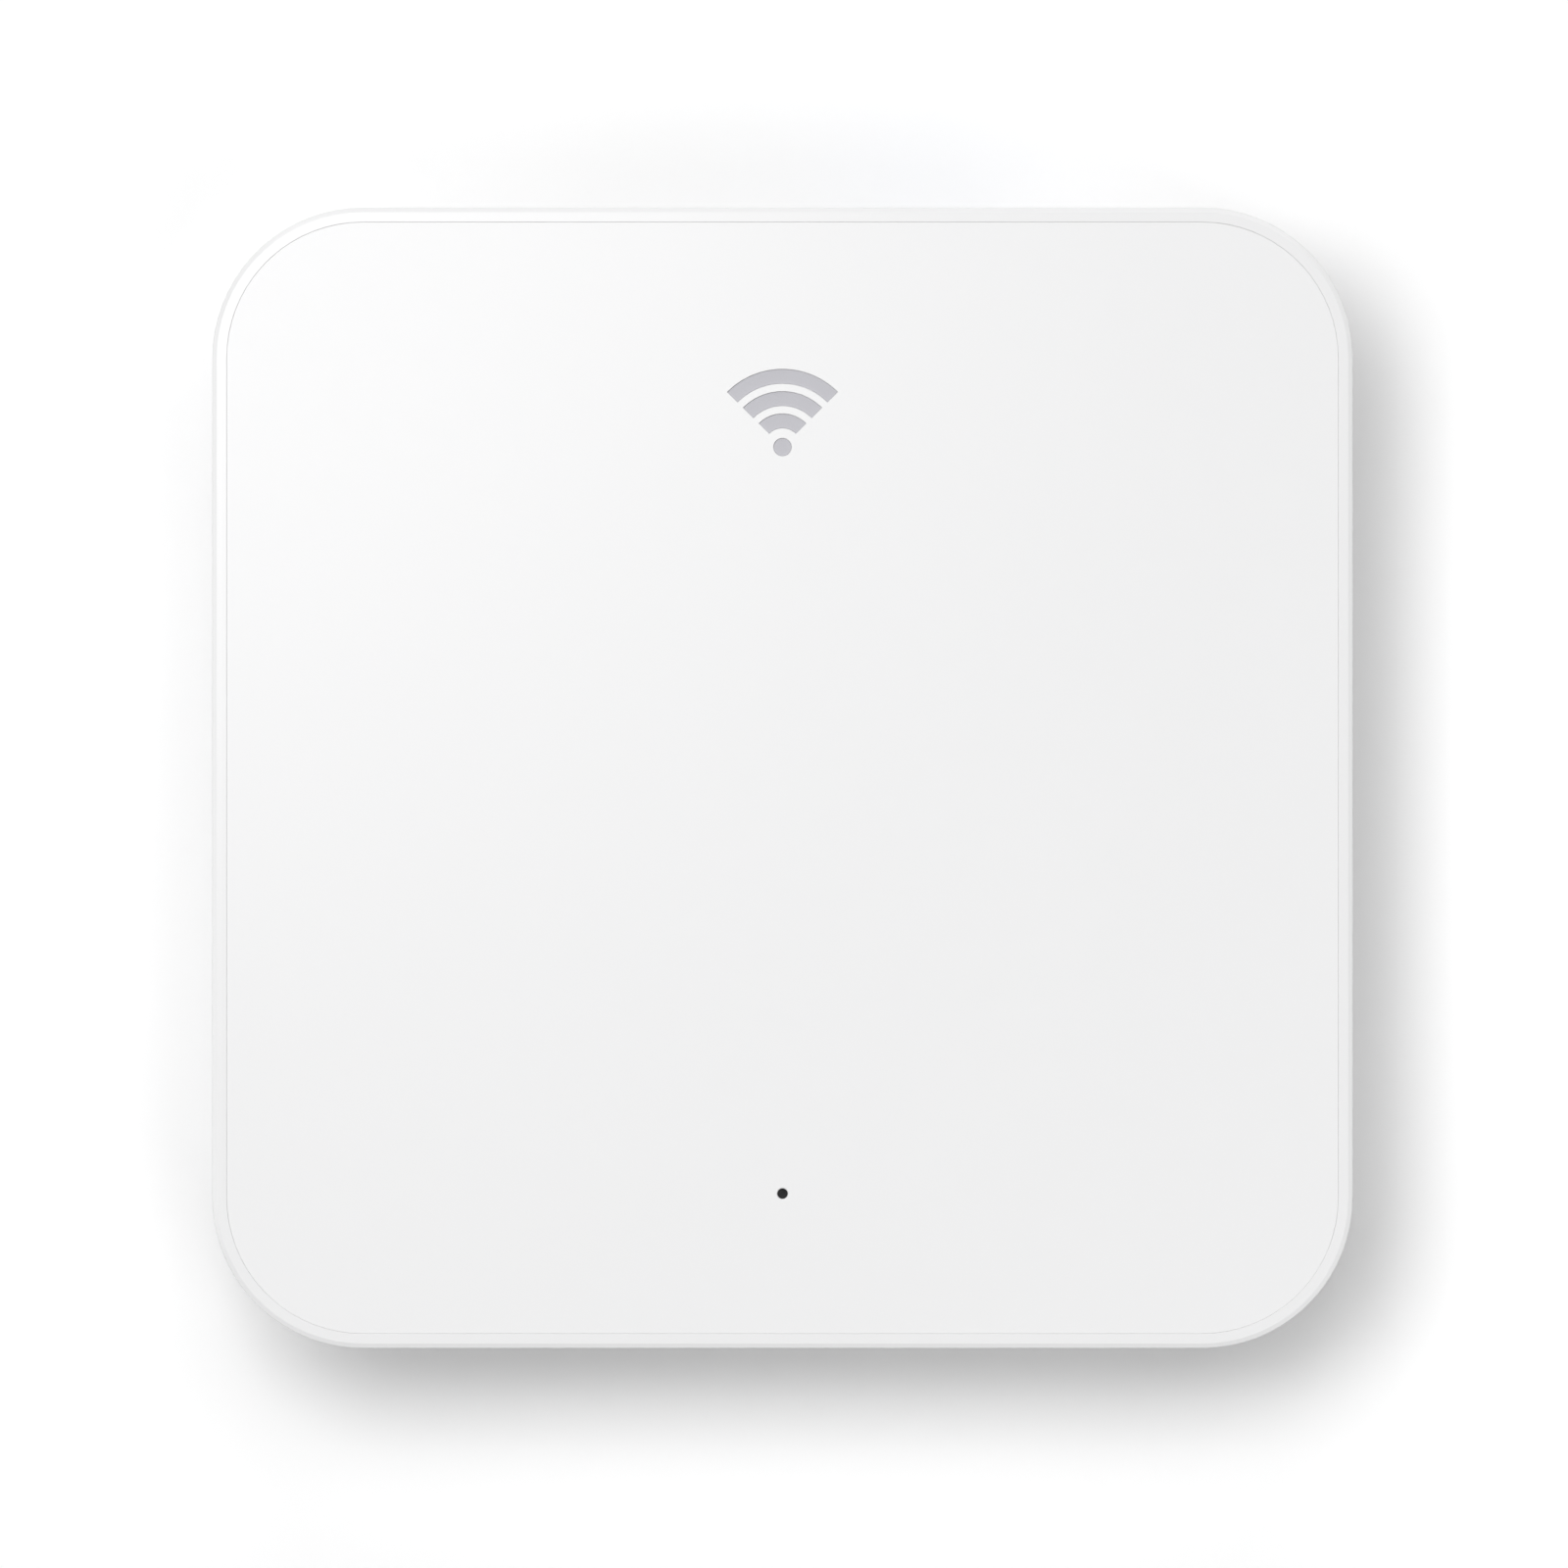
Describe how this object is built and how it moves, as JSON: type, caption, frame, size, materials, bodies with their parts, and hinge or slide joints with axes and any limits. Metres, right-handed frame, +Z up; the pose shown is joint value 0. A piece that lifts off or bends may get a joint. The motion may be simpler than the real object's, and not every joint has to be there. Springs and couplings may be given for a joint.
{
  "type": "wireless router",
  "caption": "Flat square wireless router with rounded corners, a flush top panel with a status light hole, and a recessed rear port bay with a reset button.",
  "frame": {"origin": "centre of the footprint, on the surface that the feet stand on", "axes": "+Z up, +Y towards the rear port bay, +X to the right seen from the front, where the status light is"},
  "size_m": [0.11, 0.11, 0.024],
  "materials": {
    "white_panel": "satin",
    "white_frame": "satin",
    "white_base": "matt, fine moulded texture",
    "port_panel_white": "matt, fine moulded texture",
    "mark_grey": "printed, satin",
    "light_pipe": "smoked clear plastic, unlit",
    "black_rubber": "matt",
    "led_lens": "clear over phosphor",
    "foot_rubber": "matt",
    "label_film": "matt film",
    "screw_steel": "zinc plated",
    "circuit_board": "solder mask over glass fibre",
    "chip_black": "moulded epoxy",
    "thermal_pad": "soft matt",
    "heatsink_alloy": "black anodised",
    "tinned_steel": "tin plated",
    "transformer_black": "moulded",
    "crystal_can": "satin",
    "inductor_grey": "pressed ferrite",
    "capacitor_can": "drawn can with a sleeve",
    "passive_tan": "ceramic",
    "jack_blue": "moulded",
    "jack_black": "moulded",
    "gold_contact": "gold flashed",
    "usb_steel": "nickel plated",
    "usb_insulator": "moulded",
    "nickel_pin": "nickel plated",
    "spring_bronze": "bright",
    "button_grey": "satin",
    "plunger_black": "moulded",
    "switch_black": "moulded",
    "tape_white": "foam tape",
    "coax_grey": "coax jacket",
    "plug_gold": "gold flashed"
  },
  "bodies": {
    "case": {"top_panel": "white_panel", "side_frame": "white_frame", "bottom_cover": "white_base", "port_panel": "port_panel_white", "top_mark": "mark_grey", "status_light_pipe": "light_pipe", "light_pipe_boot": "black_rubber", "status_led": "led_lens", "rubber_feet": "foot_rubber", "base_label": "label_film", "case_screws": "screw_steel", "board_screws": "screw_steel", "main_board": "circuit_board", "main_processor": "chip_black", "thermal_pad": "thermal_pad", "heatsink": "heatsink_alloy", "memory_chip": "chip_black", "flash_chip": "chip_black", "radio_chip": "chip_black", "regulator_chips": "chip_black", "shield_cans": "tinned_steel", "network_transformers": "transformer_black", "crystals": "crystal_can", "power_inductors": "inductor_grey", "electrolytic_capacitors": "capacitor_can", "chip_passives": "passive_tan", "wan_jack_housing": "jack_blue", "wan_jack_contacts": "gold_contact", "lan_jack_1_housing": "jack_black", "lan_jack_1_contacts": "gold_contact", "lan_jack_2_housing": "jack_black", "lan_jack_2_contacts": "gold_contact", "usb_shell": "usb_steel", "usb_tongue": "usb_insulator", "usb_contacts": "gold_contact", "dc_jack_housing": "jack_black", "dc_jack_pin": "nickel_pin", "dc_jack_spring": "spring_bronze", "reset_switch_body": "switch_black", "reset_switch_bracket": "tinned_steel", "left_antenna": "circuit_board", "right_antenna": "circuit_board", "antenna_tapes": "tape_white", "left_antenna_cable": "coax_grey", "right_antenna_cable": "coax_grey", "antenna_sockets": "gold_contact", "antenna_plugs": "plug_gold"},
    "reset_key": {"reset_button": "button_grey", "reset_switch_plunger": "plunger_black"}
  },
  "joints": [
    {"name": "reset_press", "type": "slide", "parent": "case", "child": "reset_key", "axis": [0, -1, 0], "range_m": [0, 0.0003], "stiffness_N_per_m": 300, "springref_m": -0.004}
  ]
}
